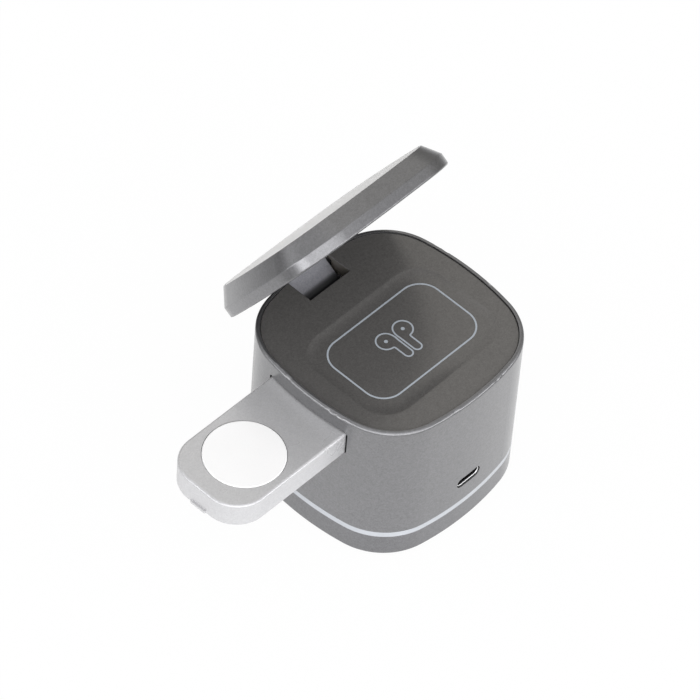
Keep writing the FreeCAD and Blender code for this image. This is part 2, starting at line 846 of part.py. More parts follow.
def drawer_screws():
    """Small screws from below into the drawer's bosses."""
    seat = drawer_bottom + small_head_height
    length = drawer_bottom_thick - small_head_height + small_screw_bite
    return Part.makeCompound([
        screw(x, y, seat, 1, small_screw_radius, small_head_radius, small_head_height, length)
        for x, y in drawer_boss_places()])


def watch_puck():
    """White disc that fills the window, held by a flange under the drawer's top."""
    ceiling = drawer_top - drawer_wall
    disc = upright(puck_x(), 0, ceiling - puck_flange_thick, drawer_top + puck_proud, puck_radius)
    disc = disc.makeFillet(puck_round, edges_at(disc, drawer_top + puck_proud))
    return disc.fuse(upright(puck_x(), 0, ceiling - puck_flange_thick, ceiling,
                             puck_radius + puck_flange)).removeSplitter()


def watch_level():
    """Height of the puck's underside."""
    return drawer_top - drawer_wall - puck_flange_thick


def watch_coil():
    """Coil glued under the puck."""
    high = watch_level()
    return flat_coil(puck_x(), 0, high - watch_coil_thick, high, puck_radius, watch_coil_hole)


def watch_magnet():
    """Holding magnet in the middle of the watch coil."""
    high = watch_level()
    return upright(puck_x(), 0, high - watch_coil_thick, high, watch_magnet_radius)


def watch_ferrite():
    """Ferrite disc under the watch coil."""
    high = watch_level() - watch_coil_thick
    return upright(puck_x(), 0, high - watch_ferrite_thick, high, puck_radius)


base_nodes = {
    "main_housing": main_housing, "top_deck": top_deck, "light_ring": light_ring, "lamp_board": lamp_board,
    "ring_lamps": ring_lamps, "base_cover": base_cover, "foot_pad": foot_pad, "ballast_plate": ballast_plate,
    "main_board": main_board, "board_chips": board_chips, "board_inductors": board_inductors,
    "board_capacitors": board_capacitors, "socket_shell": socket_shell, "socket_tongue": socket_tongue,
    "inner_chassis": inner_chassis, "hinge_bracket": hinge_bracket, "bracket_screws": bracket_screws,
    "hinge_pin": hinge_pin, "friction_washers": friction_washers, "earbud_coil": earbud_coil,
    "earbud_ferrite": earbud_ferrite, "base_screws": base_screws, "chassis_screws": chassis_screws}
lid_nodes = {
    "lid_frame": lid_frame, "lid_pad": lid_pad, "lid_underside": lid_underside, "hinge_arm": hinge_arm,
    "arm_screws": arm_screws, "phone_coil": phone_coil, "phone_ferrite": phone_ferrite,
    "magnet_ring": magnet_ring}
drawer_nodes = {
    "drawer_shell": drawer_shell, "drawer_floor": drawer_floor, "drawer_board": drawer_board,
    "drawer_screws": drawer_screws, "watch_puck": watch_puck, "watch_coil": watch_coil,
    "watch_magnet": watch_magnet, "watch_ferrite": watch_ferrite}

os.makedirs("parts", exist_ok=True)
for node, make in {**base_nodes, **lid_nodes, **drawer_nodes}.items():
    shape = make()
    if node in lid_nodes:
        shape.rotate(V(0, hinge_y, hinge_z), X_AXIS, open_angle)
    shape.exportStep("parts/" + node + ".step")
    print(node, len(shape.Solids), "solids, valid", shape.isValid(), "volume", round(shape.Volume, 2))
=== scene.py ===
# %% [markdown]
# # A folding cube charger
# The real thing is a palm-sized cube with bowed sides. Its lid tilts up to hold a phone, a dish on the
# deck takes an earbud case, and a silver drawer slides out of one side with a white puck for a watch.
# The solids come from the packed CAD frame in metres, standing on the table with the drawer along +X
# and the power socket along +Y. This lesson adds the camera, the light, the finishes and the fine
# pieces that are too thin for the solids. Distances below are written in millimetres.

# %% Load the frame
from math import cos, pi, radians, sin

import bpy
import numpy as np
from mathutils import Matrix, Vector


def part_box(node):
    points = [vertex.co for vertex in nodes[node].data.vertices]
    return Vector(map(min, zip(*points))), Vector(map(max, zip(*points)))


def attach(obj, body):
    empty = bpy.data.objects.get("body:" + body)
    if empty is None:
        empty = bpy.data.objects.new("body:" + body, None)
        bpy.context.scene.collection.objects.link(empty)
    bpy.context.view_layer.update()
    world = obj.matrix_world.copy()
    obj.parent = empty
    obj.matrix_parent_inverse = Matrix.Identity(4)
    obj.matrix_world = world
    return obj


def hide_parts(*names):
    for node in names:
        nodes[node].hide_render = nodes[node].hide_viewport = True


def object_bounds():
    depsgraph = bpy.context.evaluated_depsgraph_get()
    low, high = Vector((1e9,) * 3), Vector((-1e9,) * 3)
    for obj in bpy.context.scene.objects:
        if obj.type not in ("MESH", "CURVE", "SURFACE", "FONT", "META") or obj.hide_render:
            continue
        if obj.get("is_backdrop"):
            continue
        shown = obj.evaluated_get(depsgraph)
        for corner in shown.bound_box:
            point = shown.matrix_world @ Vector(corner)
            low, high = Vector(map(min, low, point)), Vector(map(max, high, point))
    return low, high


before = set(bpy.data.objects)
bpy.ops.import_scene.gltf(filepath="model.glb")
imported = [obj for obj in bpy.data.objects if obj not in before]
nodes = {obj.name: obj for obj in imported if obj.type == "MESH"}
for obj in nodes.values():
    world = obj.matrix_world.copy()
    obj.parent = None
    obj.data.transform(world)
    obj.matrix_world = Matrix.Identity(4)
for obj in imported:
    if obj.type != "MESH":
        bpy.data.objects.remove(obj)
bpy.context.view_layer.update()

MM = 0.001

# %% [markdown]
# ## The camera
# The photograph looks down on the corner between the drawer and the socket from about fifty degrees up.
# Its vertical edges hardly run together, so it was taken from far away with a long lens. A camera could
# be pointed with a Track To constraint, but its small roll is easier to write as a matrix whose columns
# are the picture's right, up and backward directions.

# %% Place the camera
VIEW_AZIMUTH = radians(39.983)
VIEW_ELEVATION = radians(49.972)
VIEW_ROLL = radians(4.868)
VIEW_DISTANCE = 1544.68
VIEW_SHIFT = (-9.672, 9.450)
VIEW_AIM = Vector((0, 0, 30))
FOCAL_PIXELS = 5567.0
PICTURE_PIXELS = 700
SENSOR = 36.0

back = Vector((cos(VIEW_ELEVATION) * cos(VIEW_AZIMUTH),
               cos(VIEW_ELEVATION) * sin(VIEW_AZIMUTH),
               sin(VIEW_ELEVATION)))
level = Vector((-sin(VIEW_AZIMUTH), cos(VIEW_AZIMUTH), 0))
upright = back.cross(level)
right = cos(VIEW_ROLL) * level + sin(VIEW_ROLL) * upright
up = cos(VIEW_ROLL) * upright - sin(VIEW_ROLL) * level
spot = VIEW_AIM + VIEW_SHIFT[0] * right + VIEW_SHIFT[1] * up + VIEW_DISTANCE * back

camera_data = bpy.data.cameras.new("camera")
camera_data.sensor_width = SENSOR
camera_data.lens = SENSOR * FOCAL_PIXELS / PICTURE_PIXELS
camera = bpy.data.objects.new("camera", camera_data)
bpy.context.collection.objects.link(camera)
turn = Matrix((right, up, back)).transposed().to_4x4()
camera.matrix_world = Matrix.Translation(spot * MM) @ turn
bpy.context.scene.camera = camera
print("camera lens", round(camera_data.lens, 1), "mm at", [round(v, 3) for v in camera.location])

# %% [markdown]
# ## Shader sums in Python
# A finish is a small calculation: a colour times a mottle, a roughness plus a grain. Joining Math nodes
# by hand hides that, so one class wraps a socket and gives it the usual operators. Any other node comes
# from the finish's node method, which sets the node up first and then fills or links its inputs.

# %% Wires
class Wire:
    """A value in a shader. Sums and products with numbers or other wires add Math nodes."""

    def __init__(self, maker, socket):
        self.maker = maker
        self.socket = socket

    def maths(self, operation, first, second=0.0):
        return self.maker.node("Math", {"operation": operation}, {0: first, 1: second})

    def __add__(self, other):
        return self.maths("ADD", self, other)

    def __sub__(self, other):
        return self.maths("SUBTRACT", self, other)

    def __rsub__(self, other):
        return self.maths("SUBTRACT", other, self)

    def __mul__(self, other):
        return self.maths("MULTIPLY", self, other)

    def __truediv__(self, other):
        return self.maths("DIVIDE", self, other)

    def __pow__(self, other):
        return self.maths("POWER", self, other)

    def __gt__(self, other):
        return self.maths("GREATER_THAN", self, other)

    def __lt__(self, other):
        return self.maths("LESS_THAN", self, other)

    def __abs__(self):
        return self.maths("ABSOLUTE", self)

    def least(self, other):
        return self.maths("MINIMUM", self, other)

    def ease(self, low, high):
        """0 below low, 1 above high and a smooth step between."""
        return self.maker.node("MapRange", {"interpolation_type": "SMOOTHSTEP"},
                               {"Value": self, "From Min": low, "From Max": high}, "Result")

    __radd__ = __add__
    __rmul__ = __mul__


print("a wire knows:", [name for name in vars(Wire) if not name.startswith("__")])

# %% Node trees
class Shop:
    """A node tree to which nodes are added: settings first, then values or wires on the inputs."""

    def __init__(self, tree):
        self.tree = tree

    def plug(self, socket, value):
        if isinstance(value, Wire):
            self.tree.links.new(value.socket, socket)
        else:
            socket.default_value = value

    def node(self, kind, settings=None, inputs=None, output=0):
        made = self.tree.nodes.new("ShaderNode" + kind)
        for key, value in (settings or {}).items():
            setattr(made, key, value)
        for key, value in (inputs or {}).items():
            self.plug(made.inputs[key], value)
        return Wire(self, made.outputs[output])

    def axes(self, vector):
        parts = self.tree.nodes.new("ShaderNodeSeparateXYZ")
        self.plug(parts.inputs[0], vector)
        return [Wire(self, part) for part in parts.outputs]

    def blend(self, share, first, second):
        return self.node("Mix", {"data_type": "RGBA"}, {"Factor": share, 6: first, 7: second}, 2)


print("a shop makes:", [name for name in vars(Shop) if not name.startswith("__")])

# %% Finishes
class Finish(Shop):
    """A material with a Principled shader: constants go on its sockets, wires are linked to them."""

    def __init__(self, name, **constants):
        self.material = bpy.data.materials.new(name)
        self.material.use_nodes = True
        super().__init__(self.material.node_tree)
        self.shader = self.tree.nodes["Principled BSDF"]
        self.feed(**constants)

    def feed(self, **values):
        for key, value in values.items():
            self.plug(self.shader.inputs[key.replace("_", " ")], value)

    def place(self):
        return self.node("TexCoord", output="Object")

    def noise(self, size_mm, detail=2.0, at=None):
        return self.node("TexNoise", {}, {"Vector": at or self.place(), "Scale": 1 / (size_mm * MM),
                                          "Detail": detail}, "Fac")

    def cells(self, size_mm, output="Color"):
        return self.node("TexVoronoi", {}, {"Vector": self.place(), "Scale": 1 / (size_mm * MM)}, output)

    def grey(self, wire):
        return self.node("SeparateColor", {}, {"Color": wire}, 0)

    def bump(self, height, depth_mm):
        self.feed(Normal=self.node("Bump", {}, {"Height": height, "Distance": depth_mm * MM}, "Normal"))

    def fed(self, name):
        """The wire that already feeds one of the shader's inputs."""
        return Wire(self, self.shader.inputs[name].links[0].from_socket)

    def wear(self, *names):
        """Give this finish to CAD nodes or new pieces."""
        for name in names:
            piece = nodes[name] if isinstance(name, str) else name
            if piece.material_slots:
                for slot in piece.material_slots:
                    slot.material = self.material
            else:
                piece.data.materials.append(self.material)


def shade(colour, factor):
    """A colour made lighter or darker, with full alpha."""
    return tuple(min(1.0, part * factor) for part in colour) + (1.0,)


print("a finish makes:", [name for name in vars(Finish) if not name.startswith("__")])

# %% [markdown]
# ## Metallic paint
# Body, lid and drawer are moulded plastic under a satin paint with metal flakes in it. Seen close, each
# flake is a speck that lies at its own tilt, so the paint glitters instead of shining. The flakes could
# be an image, but a cell pattern with a random shade for each cell keeps its scale on every piece.

# %% Paints
FLAKE_SIZES = 0.62, 0.30, 0.14
FLAKE_SHARES = 0.09, 0.14, 0.10
MOTTLE_SIZE, MOTTLE_SHARE, MOTTLE_ROUGH = 9.0, 0.04, 0.05
SWELL_SIZE, SWELL_DEPTH = 1.4, 0.002
SILVER_METAL = 0.42


def flake_paint(name, colour, metal, rough, spread=0.6, **coat):
    """Satin paint: cells of random shade as flakes in three sizes, a wide mottle and a faint swell."""
    paint = Finish(name, Metallic=metal, **coat)
    mottle = paint.noise(MOTTLE_SIZE)
    tone = 0.5 + (mottle - 0.5) * MOTTLE_SHARE
    for size, share in zip(FLAKE_SIZES, FLAKE_SHARES):
        tone = tone + (paint.grey(paint.cells(size)) - 0.5) * share
    paint.feed(Base_Color=paint.blend(tone, shade(colour, 1 - spread), shade(colour, 1 + spread)),
               Roughness=rough + (mottle - 0.5) * MOTTLE_ROUGH)
    paint.bump(paint.noise(SWELL_SIZE), SWELL_DEPTH)
    return paint


BODY = dict(colour=(0.226, 0.226, 0.231), metal=0.8, rough=0.30, Coat_Weight=0.6, Coat_Roughness=0.10)
body_paint = flake_paint("body_paint", **BODY)
body_paint.wear("lid_frame")
# painted shade: the foot wears the body paint made darker, for the shade near the floor
foot_paint_shaded = flake_paint("foot_paint_shaded", **{**BODY, "colour": (0.203, 0.203, 0.209)})
foot_paint_shaded.wear("base_cover")
silver_paint_and_shade = flake_paint("silver_paint_and_shade", (0.61, 0.61, 0.615), SILVER_METAL, 0.28, 0.3)
silver_paint_and_shade.wear("drawer_shell", "drawer_floor")
print("paints:", [p.material.name for p in (body_paint, foot_paint_shaded, silver_paint_and_shade)])

# %% [markdown]
# The paint is sprayed from outside, so in the openings and behind them the dark plastic stays bare; that dark
# is also painted shade, standing in for the shade in the openings and gaps. A mask
# could be painted by hand, but the shapes are known. Each wall of the housing is an arc about a far centre,
# and how deep a point lies is the arc's radius less its distance from that centre. The deck is dark below
# its top, partly bare plastic and partly painted shade in the slot. The drawer's flanks are painted dark where
# they run inside, as painted shade in the gap, and the hinge arm is painted darker towards the barrel that
# turns on the pin, as painted shade deep in the slot.

# %% Bare plastic and painted shade inside
BODY_HALF, CORNER, SIDE = 33.0, 19.4, 86.5
PAINT_DEPTH, OPEN_HALF, RIM_PAINT = 0.12, 17.0, 52.0
HINGE_Y, HINGE_Z, BARREL, BARREL_SHADE_FADE = -28.05, 45.05, 3.7, 0.7
DECK_PAINT = 52.5
DRAWER_HALF, MOUTH_X = 14.2, 31.8
DECK_METAL, ARM_METAL = 0.42, 0.5
HAIR = 0.01
BARE_AND_SHADE_DARK = (0.012, 0.012, 0.013, 1)
DECK_BARE_AND_SHADE = (0.085, 0.078, 0.066, 1)


def dark_bare_and_shade(paint, bare_and_shaded, metal, plastic=BARE_AND_SHADE_DARK):
    """Where the mask is 1, dark plastic without metal replaces the paint: bare plastic, and painted shade in
    openings, gaps and hollows.
    """
    paint.feed(Base_Color=paint.blend(bare_and_shaded, paint.fed("Base Color"), plastic),
               Metallic=metal * (1 - bare_and_shaded))


# painted shade: the housing's inside and the faces of its openings are dark, partly bare plastic, partly shade
# painted into the colour
shell_paint_and_shade = flake_paint("shell_paint_and_shade", **BODY)
x, y, z = shell_paint_and_shade.axes(shell_paint_and_shade.place())
out_x, out_y = abs(x), abs(y)
far = (SIDE - BODY_HALF) * MM
deep_x = SIDE * MM - ((out_x + far) ** 2.0 + y * y) ** 0.5
deep_y = SIDE * MM - ((out_y + far) ** 2.0 + x * x) ** 0.5
bare_and_shaded = deep_x.least(deep_y) > PAINT_DEPTH * MM
bare_and_shaded = bare_and_shaded * (out_x.least(out_y) < OPEN_HALF * MM) * (z < RIM_PAINT * MM)
dark_bare_and_shade(shell_paint_and_shade, bare_and_shaded, BODY["metal"])
shell_paint_and_shade.wear("main_housing")

deck_paint_and_shade = flake_paint("deck_paint_and_shade", (0.157, 0.152, 0.146), DECK_METAL, 0.25)
x, y, z = deck_paint_and_shade.axes(deck_paint_and_shade.place())
# painted shade: below its top the deck is dark plastic, partly bare, partly shade painted into the slot
dark_bare_and_shade(deck_paint_and_shade, z < DECK_PAINT * MM, DECK_METAL, DECK_BARE_AND_SHADE)

# painted shade: the drawer's flanks are painted dark where they run inside the housing, for the shade in the
# gap
x, y, z = silver_paint_and_shade.axes(silver_paint_and_shade.place())
dark_bare_and_shade(silver_paint_and_shade, (x < MOUTH_X * MM) * (abs(y) > (DRAWER_HALF - HAIR) * MM), SILVER_METAL)

arm_paint = flake_paint("arm_paint", (0.285, 0.285, 0.308), ARM_METAL, 0.40)
x, y, z = arm_paint.axes(arm_paint.place())
# painted shade: the arm is painted darker towards the barrel, for the shade deep in the slot
from_pin = ((y - HINGE_Y * MM) ** 2.0 + (z - HINGE_Z * MM) ** 2.0) ** 0.5
dark_bare_and_shade(arm_paint, 1 - from_pin.ease(BARREL * MM, (BARREL + BARREL_SHADE_FADE) * MM), ARM_METAL)
arm_paint.wear("hinge_arm")
print("housing painted to", PAINT_DEPTH, "mm into its openings")

# %% [markdown]
# ## Plain plastics and rubber
# The puck and the phone pad are smooth white plastic, the band round the foot is milky plastic that
# spreads the light of the lamps behind it, and the foot is ribbed rubber. None of them is one flat tone:
# moulded plastic has a faint orange-peel swell, and rubber a dusty grain.

# %% Plastics
def moulded(name, colour, rough, swell=1.5, grain=0.15, depth=0.004):
    """Moulded plastic: a slow change of tone, a fine grain in the gloss, a shallow orange-peel swell."""
    plastic = Finish(name)
    slow = plastic.noise(14.0)
    fine = plastic.noise(grain)
    tone = slow * 0.6 + fine * 0.4
    plastic.feed(Base_Color=plastic.blend(tone, shade(colour, 0.94), shade(colour, 1.06)),
                 Roughness=rough + (fine - 0.5) * 0.16)
    plastic.bump(plastic.noise(swell) * 0.6 + fine * 0.4, depth)
    return plastic


for node, name, colour, rough in (
        ("watch_puck", "puck_white", (0.95, 0.95, 0.935), 0.30),
        ("lid_pad", "pad_white", (0.92, 0.92, 0.91), 0.42),
        ("lid_underside", "lid_inside", (0.035, 0.034, 0.034), 0.10),
        ("inner_chassis", "chassis_plastic", (0.05, 0.05, 0.055), 0.5),
        ("board_chips", "chip_resin", (0.03, 0.03, 0.034), 0.55),
        ("friction_washers", "washer_resin", (0.78, 0.76, 0.70), 0.45),
        ("ring_lamps", "lamp_resin", (0.92, 0.86, 0.60), 0.2)):
    moulded(name, colour, rough).wear(node)
moulded("inductor_block", (0.11, 0.11, 0.12), 0.7, 0.5, 0.1, 0.01).wear("board_inductors")
print("moulded plastics done")

# %% Ring and foot
RIB_SCALE, RIB_DEPTH = 160.0, 0.08

milk = Finish("ring_diffuser", Coat_Weight=0.2, Coat_Roughness=0.2)
milk.feed(Base_Color=milk.blend(milk.noise(3.0), (0.44, 0.46, 0.485, 1), (0.50, 0.52, 0.545, 1)),
          Roughness=0.30 + (milk.noise(0.3) - 0.5) * 0.15)
milk.wear("light_ring")

rubber = Finish("foot_rubber")
ribs = rubber.node("TexWave", {"bands_direction": "DIAGONAL"},
                   {"Vector": rubber.place(), "Scale": RIB_SCALE}, "Fac")
dust = rubber.noise(0.4)
rubber.feed(Base_Color=rubber.blend(dust, (0.020, 0.020, 0.021, 1), (0.045, 0.045, 0.046, 1)),
            Roughness=0.75 + dust * 0.15)
rubber.bump(ribs * 0.8 + dust * 0.2, RIB_DEPTH)
rubber.wear("foot_pad")
print("ring and foot done")

# %% [markdown]
# ## Metals, boards and windings
# Inside are steel sheet, plated screws, copper coils, dark ferrite and green boards. Sheet steel shows
# the streaks of its rolling, a coil the turns of its wire, and a board its copper tracks under the mask.
# Streaks come from noise that is stretched one way, and turns from the distance to the coil's middle.

# %% Metals
def metal(name, colour, rough, stretch=(1, 1, 1), grain=0.5):
    """Metal with streaks: noise on coordinates that are squeezed across the rolling direction."""
    sheet = Finish(name, Metallic=1.0)
    along = sheet.node("Mapping", {}, {"Vector": sheet.place(), "Scale": stretch})
    streak = sheet.noise(grain, 3.0, along)
    sheet.feed(Base_Color=sheet.blend(streak, shade(colour, 0.82), shade(colour, 1.12)),
               Roughness=rough + (streak - 0.5) * 0.2)
    sheet.bump(streak, 0.004)
    return sheet


metal("plate_steel", (0.52, 0.52, 0.53), 0.38, (0.05, 1, 1)).wear("ballast_plate")
metal("hinge_steel", (0.60, 0.60, 0.62), 0.30, (0.1, 1, 1), 0.4).wear("hinge_bracket", "hinge_pin")
metal("screw_steel", (0.47, 0.47, 0.48), 0.32, grain=0.4).wear(
    "base_screws", "chassis_screws", "bracket_screws", "arm_screws", "drawer_screws")
metal("magnet_nickel", (0.68, 0.66, 0.62), 0.25, grain=0.8).wear("magnet_ring", "watch_magnet")
metal("can_aluminium", (0.78, 0.79, 0.80), 0.28, (1, 1, 0.1), 0.4).wear("board_capacitors")
ferrite = moulded("ferrite_sheet", (0.07, 0.07, 0.075), 0.6, 0.4, 0.08, 0.01)
ferrite.wear("earbud_ferrite", "phone_ferrite", "watch_ferrite")
print("metals done")

# %% Windings
def winding(node, pitch=0.55):
    """Copper turns: a sine of the distance from the coil's middle, one wave for each turn."""
    low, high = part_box(node)
    middle = [(a + b) / 2 for a, b in zip(low, high)]
    wire = Finish(node + "_copper", Metallic=1.0)
    arm = wire.node("VectorMath", {"operation": "SUBTRACT"}, {0: wire.place(), 1: middle})
    reach = wire.node("VectorMath", {"operation": "LENGTH"}, {0: arm}, "Value")
    turns = wire.node("Math", {"operation": "SINE"}, {0: reach * (2 * pi / (pitch * MM))}) * 0.5 + 0.5
    wire.feed(Base_Color=wire.blend(turns, (0.20, 0.07, 0.03, 1), (0.74, 0.36, 0.19, 1)),
              Roughness=0.45 - turns * 0.15)
    wire.bump(turns, 0.12)
    wire.wear(node)


for coil in ("earbud_coil", "phone_coil", "watch_coil"):
    winding(coil)
print("windings done")

# %% Boards
TRACK_SCALE, VIA_SPACING, VIA_SIZE = 260.0, 2.6, 0.16

board = Finish("circuit_board")
tracks = board.node("TexBrick", {"offset": 0.37, "squash": 0.6},
                    {"Vector": board.place(), "Scale": TRACK_SCALE, "Mortar Size": 0.09,
                     "Mortar Smooth": 0.3}, "Fac")
via = board.cells(VIA_SPACING, "Distance") < VIA_SIZE
mask = board.blend(tracks, (0.012, 0.09, 0.04, 1), (0.03, 0.20, 0.09, 1))
board.feed(Base_Color=board.blend(via, mask, (0.55, 0.42, 0.18, 1)),
           Roughness=0.38 + board.noise(0.5) * 0.1, Metallic=via)
board.bump(tracks * 0.6 + via * 0.4, 0.03)
board.wear("main_board", "lamp_board", "drawer_board")
print("boards done")

# %% [markdown]
# ## Surfaces from loops
# A moulded piece can be thought of as a stack of closed loops: each loop has the same number of points,
# and neighbouring loops are joined by a belt of quads. A whole piece is then one array, loop by point by
# coordinate, and the mesh is made in one go. Loops that shrink to a point close the ends.

# %% Skin a stack of loops
SHARP = radians(50)


def skin(name, loops, body, finish, ring=False):
    """Mesh from loops (rows, points, 3) in mm: quad (i, j) joins points j and j + 1 of rows i and i + 1."""
    rows, points, _ = loops.shape
    index = np.arange(rows * points).reshape(rows, points)
    near = index if ring else index[:-1]
    far = np.roll(index, -1, 0) if ring else index[1:]
    quads = np.stack([near, np.roll(near, -1, 1), np.roll(far, -1, 1), far], -1).reshape(-1, 4)
    spots, inverse = np.unique(np.round(loops.reshape(-1, 3), 5), axis=0, return_inverse=True)
    faces = [list(dict.fromkeys(face)) for face in inverse.reshape(-1)[quads].tolist()]
    mesh = bpy.data.meshes.new(name)
    mesh.from_pydata(spots * MM, [], [face for face in faces if len(face) > 2])
    mesh.shade_smooth()
    mesh.set_sharp_from_angle(angle=SHARP)
    mesh.validate()
    piece = bpy.data.objects.new(name, mesh)
    bpy.context.collection.objects.link(piece)
    finish.wear(piece)
    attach(piece, body)
    print(name, len(mesh.polygons), "faces")
    return piece


print("edges over", round(np.degrees(SHARP)), "degrees stay sharp")

# %% Outlines
def oblong(half_x, half_y, radius, turn):
    """Points (n, 2) of a rounded oblong: turn runs from 0 to 1 once round it by length, anticlockwise from
    the middle of its -Y side. Straight runs go from their start along their way, corners are arcs."""
    flat_x, flat_y = half_x - radius, half_y - radius
    arc = radius * pi / 2
    lengths = np.array([flat_x, arc, 2 * flat_y, arc, 2 * flat_x, arc, 2 * flat_y, arc, flat_x])
    ends = np.concatenate([[0], np.cumsum(lengths)])
    s = np.asarray(turn) % 1.0 * ends[-1]
    part = np.clip(np.searchsorted(ends, s, side="right") - 1, 0, len(lengths) - 1)
    along = s - ends[part]
    starts = np.array([[0, -half_y], [0, 0], [half_x, -flat_y], [0, 0], [flat_x, half_y], [0, 0],
                       [-half_x, flat_y], [0, 0], [-flat_x, -half_y]])
    ways = np.array([[1, 0], [0, 0], [0, 1], [0, 0], [-1, 0], [0, 0], [0, -1], [0, 0], [1, 0]])
    straight = starts[part] + ways[part] * along[:, None]
    centres = np.array([[0, 0], [flat_x, -flat_y], [0, 0], [flat_x, flat_y], [0, 0], [-flat_x, flat_y],
                        [0, 0], [-flat_x, -flat_y], [0, 0]])
    angle = (part // 2) * pi / 2 - pi / 2 + along / radius
    curved = centres[part] + radius * np.stack([np.cos(angle), np.sin(angle)], -1)
    return np.where((part % 2 == 1)[:, None], curved, straight)


def mitres(loop):
    """How each point of a closed anticlockwise loop moves when the loop grows by one: at a corner, the
    sum of the normals of its two sides, divided by one plus their product."""
    side = np.roll(loop, -1, 0) - loop
    side /= np.linalg.norm(side, axis=1, keepdims=True)
    ahead = np.stack([side[:, 1], -side[:, 0]], -1)
    behind = np.roll(ahead, 1, 0)
    return (ahead + behind) / (1 + np.sum(ahead * behind, 1, keepdims=True))


def raised(loop, z):
    """A flat loop lifted to height z, a number or one height for each point."""
    return np.column_stack([loop, np.broadcast_to(z, len(loop))])


print("a square grown by 1 moves its corners by", mitres(np.array([[0, 0], [4, 0], [4, 4], [0, 4.0]])).tolist())

# %% [markdown]
# ## The deck
# The deck is a thin plate inside the rim, with a shallow dish and a slot in front for the hinge arm. The
# solid has straight slopes; the real moulding turns over a small border into the dish and then flattens
# out. So the deck is a stack of loops: its cut edge, a step over the rounded border, flat rings up to the
# dish, the fall, and the floor. The slope rises over the border and dies away towards the floor, and the
# fall is its running sum. The underside starts from the walls that hang down round the slot and then
# follows the same loops one plate thickness lower. A height field would need a cut for the slot.

# %% Deck edge
DECK_INSET, DECK_TOP, DECK_THICK, DECK_EDGE = 1.42, 53.0, 1.6, 0.25
DECK_FLAT = 0.1
DISH_HALF, DISH_CORNER, DISH_MIDDLE = (25.15, 17.5), 9.5, 4.8
DISH_SLOPE, DISH_DEPTH, DISH_ROLL, DISH_FADE = 4.4, 0.35, 0.3, 1.6
SLOT_HALF, SLOT_REAR = 7.8, -22.7
SLOT_WALL, SLOT_WALL_DROP, SLOT_WALL_FRONT, SLOT_MOUTH = 1.0, 3.1, -29.6, -30.8
RIM_POINTS, SIDE_POINTS, BACK_POINTS = 420, 12, 18
RIM_TURN, SIDE_TURNS, BACK_TURN = 0.070, (0.068, 0.058), 0.052


def soft_square(inset, angles):
    """Points (n, 2) of the body outline, four wide side arcs joined by corner arcs, by normal direction."""
    shift = SIDE - BODY_HALF
    reach = (np.sqrt(2 * (SIDE - CORNER) ** 2 - shift ** 2) - shift) / 2
    meet = np.arctan2(reach, reach + shift)
    quarter = np.round(angles / (pi / 2)) * (pi / 2)
    on_side = np.abs(angles - quarter) <= meet
    corner = (np.floor(angles / (pi / 2)) + 0.5) * (pi / 2)
    centre = np.where(on_side[:, None], -shift * np.stack([np.cos(quarter), np.sin(quarter)], -1),
                      reach * np.sqrt(2) * np.stack([np.cos(corner), np.sin(corner)], -1))
    radius = np.where(on_side, SIDE, CORNER) - inset
    return centre + radius[:, None] * np.stack([np.cos(angles), np.sin(angles)], -1)


half_mouth = np.arcsin(SLOT_HALF / (SIDE - DECK_INSET))
sweep = np.linspace(-pi / 2 + half_mouth, 1.5 * pi - half_mouth, RIM_POINTS)
rim_edge = soft_square(DECK_INSET, sweep)
side_y = np.concatenate([[SLOT_MOUTH, SLOT_WALL_FRONT - HAIR],
                         np.linspace(SLOT_WALL_FRONT, SLOT_REAR, SIDE_POINTS - 1)[:-1]])
left_side = np.stack([np.full(SIDE_POINTS, -SLOT_HALF), side_y], -1)
back_side = np.stack([np.linspace(-SLOT_HALF, SLOT_HALF, BACK_POINTS), np.full(BACK_POINTS, SLOT_REAR)], -1)
right_side = left_side[::-1] * (-1, 1)
deck_edge = np.concatenate([rim_edge, left_side, back_side, right_side])
side_turn = np.linspace(*SIDE_TURNS, SIDE_POINTS)
dish_turn = np.concatenate([np.linspace(RIM_TURN, 1 - RIM_TURN, RIM_POINTS), 1 - side_turn,
                            np.linspace(1 - BACK_TURN, 1 + BACK_TURN, BACK_POINTS), side_turn[::-1]])
middle = np.array([0, DISH_MIDDLE])
outward = mitres(deck_edge)
print("deck edge:", len(deck_edge), "points")

# %% Deck top


def dish(inset):
    """The dish's outline moved inwards by inset."""
    return middle + oblong(DISH_HALF[0] - inset, DISH_HALF[1] - inset, DISH_CORNER - inset, dish_turn)


levels = [raised(deck_edge, DECK_TOP - DECK_EDGE)]
for step in np.linspace(0, pi / 2, 5)[1:]:
    edge_in = DECK_EDGE * (1 - cos(step))
    levels.append(raised(deck_edge - outward * edge_in, DECK_TOP - DECK_EDGE * (1 - sin(step))))
flat = deck_edge - outward * (DECK_EDGE + DECK_FLAT)
levels.append(raised(flat, DECK_TOP))
for share in np.linspace(0, 1, 9)[1:]:
    levels.append(raised(flat + share * (dish(-DISH_ROLL - DECK_FLAT) - flat), DECK_TOP))
way_in = np.linspace(-DISH_ROLL, DISH_SLOPE, 25)
slope = np.minimum((way_in + DISH_ROLL) / (2 * DISH_ROLL),
                   ((DISH_SLOPE - way_in) / (DISH_SLOPE - DISH_ROLL)) ** DISH_FADE)
fall = np.concatenate([[0], np.cumsum(slope[1:] + slope[:-1])])
for inset, drop in zip(way_in, DISH_DEPTH * fall / fall[-1]):
    levels.append(raised(dish(inset), DECK_TOP - drop))
floor_edge = levels[-1][:, :2]
floor_shares = (0.75, 0.5, 0.25, 0.0)
for share in floor_shares:
    levels.append(raised(middle + share * (floor_edge - middle), DECK_TOP - DISH_DEPTH))
top = np.array(levels)
print("deck top:", len(top), "loops")

